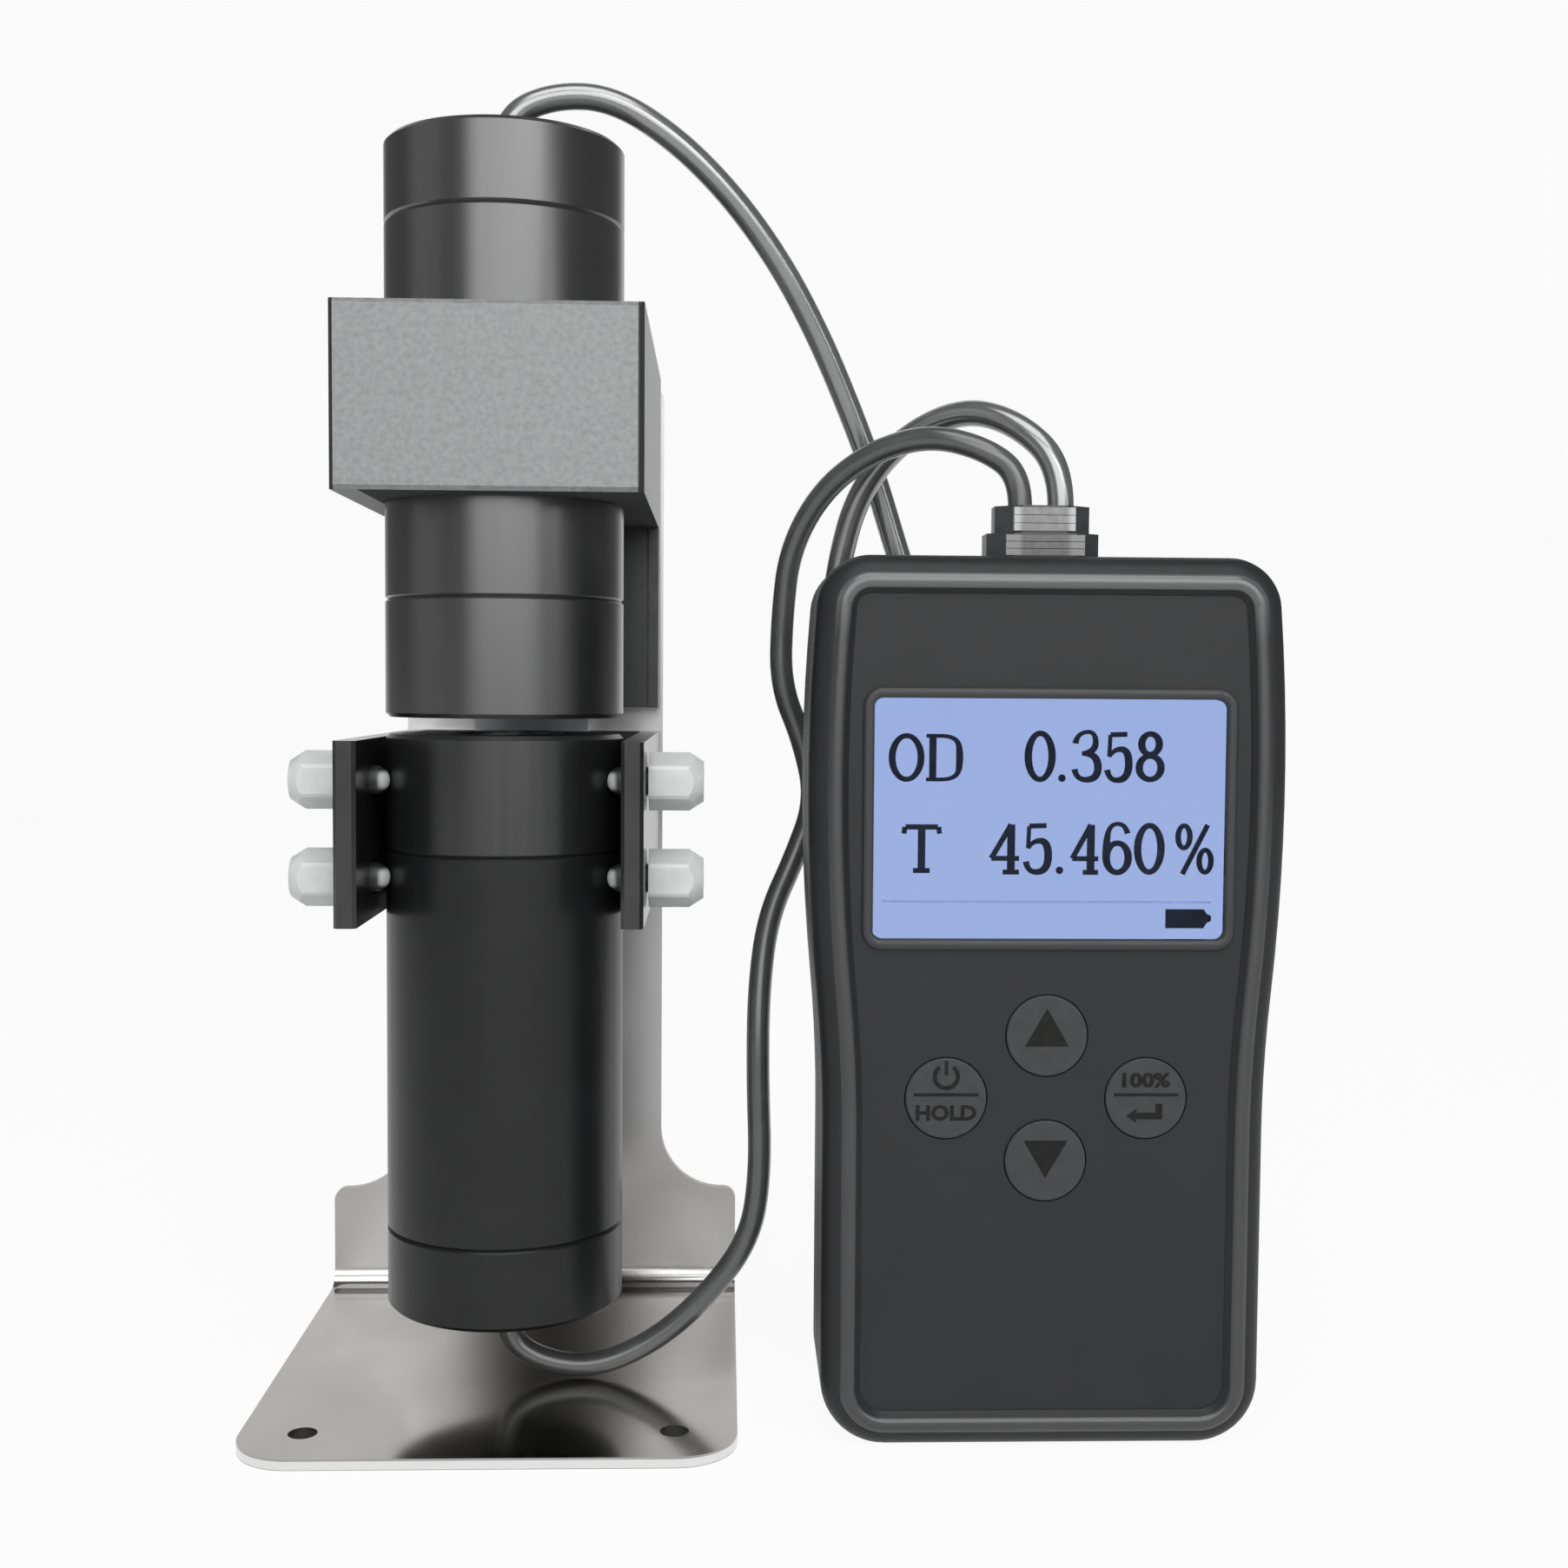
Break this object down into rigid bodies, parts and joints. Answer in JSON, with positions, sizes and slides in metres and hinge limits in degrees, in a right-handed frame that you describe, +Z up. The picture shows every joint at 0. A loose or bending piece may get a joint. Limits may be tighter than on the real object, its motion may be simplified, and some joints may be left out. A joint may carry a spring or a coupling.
{
  "type": "transmission densitometer",
  "caption": "Film densitometer: lamp and sensor probes face each other on a bent sheet stand, the upper one on a slide, with leads to a handheld meter beside it.",
  "frame": {"origin": "where the optical axis of the two probes meets the floor, in the middle of the stand's underside", "axes": "+Z up along the optical axis, -Y to the front where the display faces, +X to the right as seen from the front, towards the meter"},
  "size_m": [0.1378, 0.0731, 0.1845],
  "materials": {
    "stand_steel": "brushed, bright",
    "rail_steel": "ground",
    "probe_black": "satin black anodised",
    "clamp_black": "semi-gloss black",
    "saddle_black": "matt",
    "holder_grey": "bead blasted",
    "carriage_black": "satin black anodised",
    "screw_steel": "plain",
    "nylon_white": "natural nylon",
    "case_grey": "fine texture",
    "key_black": "matt",
    "keypad_rubber": "matt",
    "window_clear": "clear",
    "lcd_blue": "lit display",
    "board_green": "solder mask",
    "lead_grey": "satin",
    "gland_rubber": "matt",
    "plug_black": "satin",
    "optic_glass": "polished",
    "inner_black": "matt",
    "emitter_epoxy": "clear epoxy",
    "contact_steel": "nickel plated",
    "cell_jacket": "printed sleeve"
  },
  "bodies": {
    "stand": {"stand_bracket": "stand_steel", "guide_rail": "rail_steel", "travel_stop": "rail_steel", "lower_nose": "probe_black", "lower_barrel": "probe_black", "lower_cap": "probe_black", "clamp_bracket": "clamp_black", "clamp_saddle": "saddle_black", "clamp_screws": "screw_steel", "rail_screws": "screw_steel", "case_screws": "screw_steel", "meter_front_case": "case_grey", "meter_rear_case": "case_grey", "battery_cover": "case_grey", "keypad_sheet": "keypad_rubber", "display_window": "window_clear", "display_module": "lcd_blue", "main_board": "board_green", "lamp_board": "board_green", "lower_lead": "lead_grey", "lower_gland": "gland_rubber", "lead_plug": "plug_black", "plug_boot": "plug_black", "lead_socket": "plug_black", "lower_lens": "optic_glass", "lower_window": "optic_glass", "lower_lens_ring": "inner_black", "lower_spacer": "inner_black", "lamp_emitter": "emitter_epoxy", "battery_contacts": "contact_steel", "battery_cells": "cell_jacket"},
    "upper_carriage": {"slide_carriage": "carriage_black", "holder_block": "holder_grey", "holder_screws": "screw_steel", "grub_screw": "screw_steel", "upper_nose": "probe_black", "upper_window": "optic_glass", "upper_lens": "optic_glass", "upper_lens_ring": "inner_black", "upper_barrel": "probe_black", "sensor_board": "board_green", "photodiode": "emitter_epoxy", "upper_spacer": "inner_black", "upper_cap": "probe_black", "upper_gland": "gland_rubber", "upper_lead": "lead_grey"},
    "key_up": {"key_up": "key_black"},
    "key_down": {"key_down": "key_black"},
    "key_power": {"key_power": "key_black"},
    "key_enter": {"key_enter": "key_black"},
    "clamp_stud_lower_left": {"clamp_stud_lower_left": "nylon_white"},
    "clamp_nut_lower_left": {"clamp_nut_lower_left": "nylon_white"},
    "clamp_stud_upper_left": {"clamp_stud_upper_left": "nylon_white"},
    "clamp_nut_upper_left": {"clamp_nut_upper_left": "nylon_white"},
    "clamp_stud_lower_right": {"clamp_stud_lower_right": "nylon_white"},
    "clamp_nut_lower_right": {"clamp_nut_lower_right": "nylon_white"},
    "clamp_stud_upper_right": {"clamp_stud_upper_right": "nylon_white"},
    "clamp_nut_upper_right": {"clamp_nut_upper_right": "nylon_white"}
  },
  "joints": [
    {"name": "upper_probe_slide", "type": "slide", "parent": "stand", "child": "upper_carriage", "axis": [0, 0, 1], "range_m": [0, 0.025]},
    {"name": "key_up_press", "type": "slide", "parent": "stand", "child": "key_up", "axis": [0, 1, 0], "range_m": [0, 0.0006], "stiffness_N_per_m": 1500, "springref_m": -0.0004},
    {"name": "key_down_press", "type": "slide", "parent": "stand", "child": "key_down", "axis": [0, 1, 0], "range_m": [0, 0.0006], "stiffness_N_per_m": 1500, "springref_m": -0.0004},
    {"name": "key_power_press", "type": "slide", "parent": "stand", "child": "key_power", "axis": [0, 1, 0], "range_m": [0, 0.0006], "stiffness_N_per_m": 1500, "springref_m": -0.0004},
    {"name": "key_enter_press", "type": "slide", "parent": "stand", "child": "key_enter", "axis": [0, 1, 0], "range_m": [0, 0.0006], "stiffness_N_per_m": 1500, "springref_m": -0.0004},
    {"name": "lower_left_stud_travel", "type": "slide", "parent": "stand", "child": "clamp_stud_lower_left", "axis": [-1, 0, 0], "range_m": [0, 0.0021]},
    {"name": "lower_left_nut_turn", "type": "hinge", "parent": "clamp_stud_lower_left", "child": "clamp_nut_lower_left", "pos_m": [-0.02055, -0.008, 0.07435], "axis": [-1, 0, 0], "range_deg": [0, 1080]},
    {"name": "upper_left_stud_travel", "type": "slide", "parent": "stand", "child": "clamp_stud_upper_left", "axis": [-1, 0, 0], "range_m": [0, 0.0021]},
    {"name": "upper_left_nut_turn", "type": "hinge", "parent": "clamp_stud_upper_left", "child": "clamp_nut_upper_left", "pos_m": [-0.02055, -0.008, 0.08765], "axis": [-1, 0, 0], "range_deg": [0, 1080]},
    {"name": "lower_right_stud_travel", "type": "slide", "parent": "stand", "child": "clamp_stud_lower_right", "axis": [1, 0, 0], "range_m": [0, 0.0021]},
    {"name": "lower_right_nut_turn", "type": "hinge", "parent": "clamp_stud_lower_right", "child": "clamp_nut_lower_right", "pos_m": [0.02055, -0.008, 0.07435], "axis": [1, 0, 0], "range_deg": [0, 1080]},
    {"name": "upper_right_stud_travel", "type": "slide", "parent": "stand", "child": "clamp_stud_upper_right", "axis": [1, 0, 0], "range_m": [0, 0.0021]},
    {"name": "upper_right_nut_turn", "type": "hinge", "parent": "clamp_stud_upper_right", "child": "clamp_nut_upper_right", "pos_m": [0.02055, -0.008, 0.08765], "axis": [1, 0, 0], "range_deg": [0, 1080]}
  ],
  "couplings": [
    {"joint": "lower_left_nut_turn", "follows": "lower_left_stud_travel", "rad_per_m": 8976},
    {"joint": "upper_left_nut_turn", "follows": "upper_left_stud_travel", "rad_per_m": 8976},
    {"joint": "lower_right_nut_turn", "follows": "lower_right_stud_travel", "rad_per_m": 8976},
    {"joint": "upper_right_nut_turn", "follows": "upper_right_stud_travel", "rad_per_m": 8976}
  ]
}
